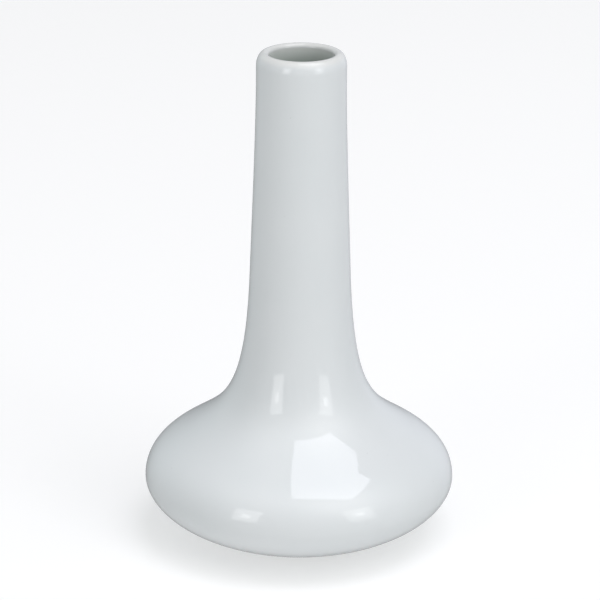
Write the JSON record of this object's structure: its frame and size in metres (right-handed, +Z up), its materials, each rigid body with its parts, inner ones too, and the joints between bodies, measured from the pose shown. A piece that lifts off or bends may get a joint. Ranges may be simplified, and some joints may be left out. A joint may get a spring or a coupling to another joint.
{
  "type": "ceramic bud vase",
  "caption": "Small glazed porcelain bud vase: a low, wide bowl sweeps up into a slender neck whose round open mouth takes a flower stem.",
  "frame": {"origin": "on the vase's axis, on the ground under the foot ring", "axes": "+Z up along the axis, out of the mouth; the vase is round, so +X and +Y may point anywhere"},
  "size_m": [0.0936, 0.0936, 0.15],
  "materials": {
    "porcelain": "fired, unglazed and matt",
    "slip": "fired, unglazed and matt",
    "glaze": "gloss"
  },
  "bodies": {
    "root": {"bowl": "porcelain", "neck": "porcelain", "luting_slip": "slip", "outer_glaze": "glaze", "inner_glaze": "glaze", "foot_glaze": "glaze"}
  },
  "joints": []
}
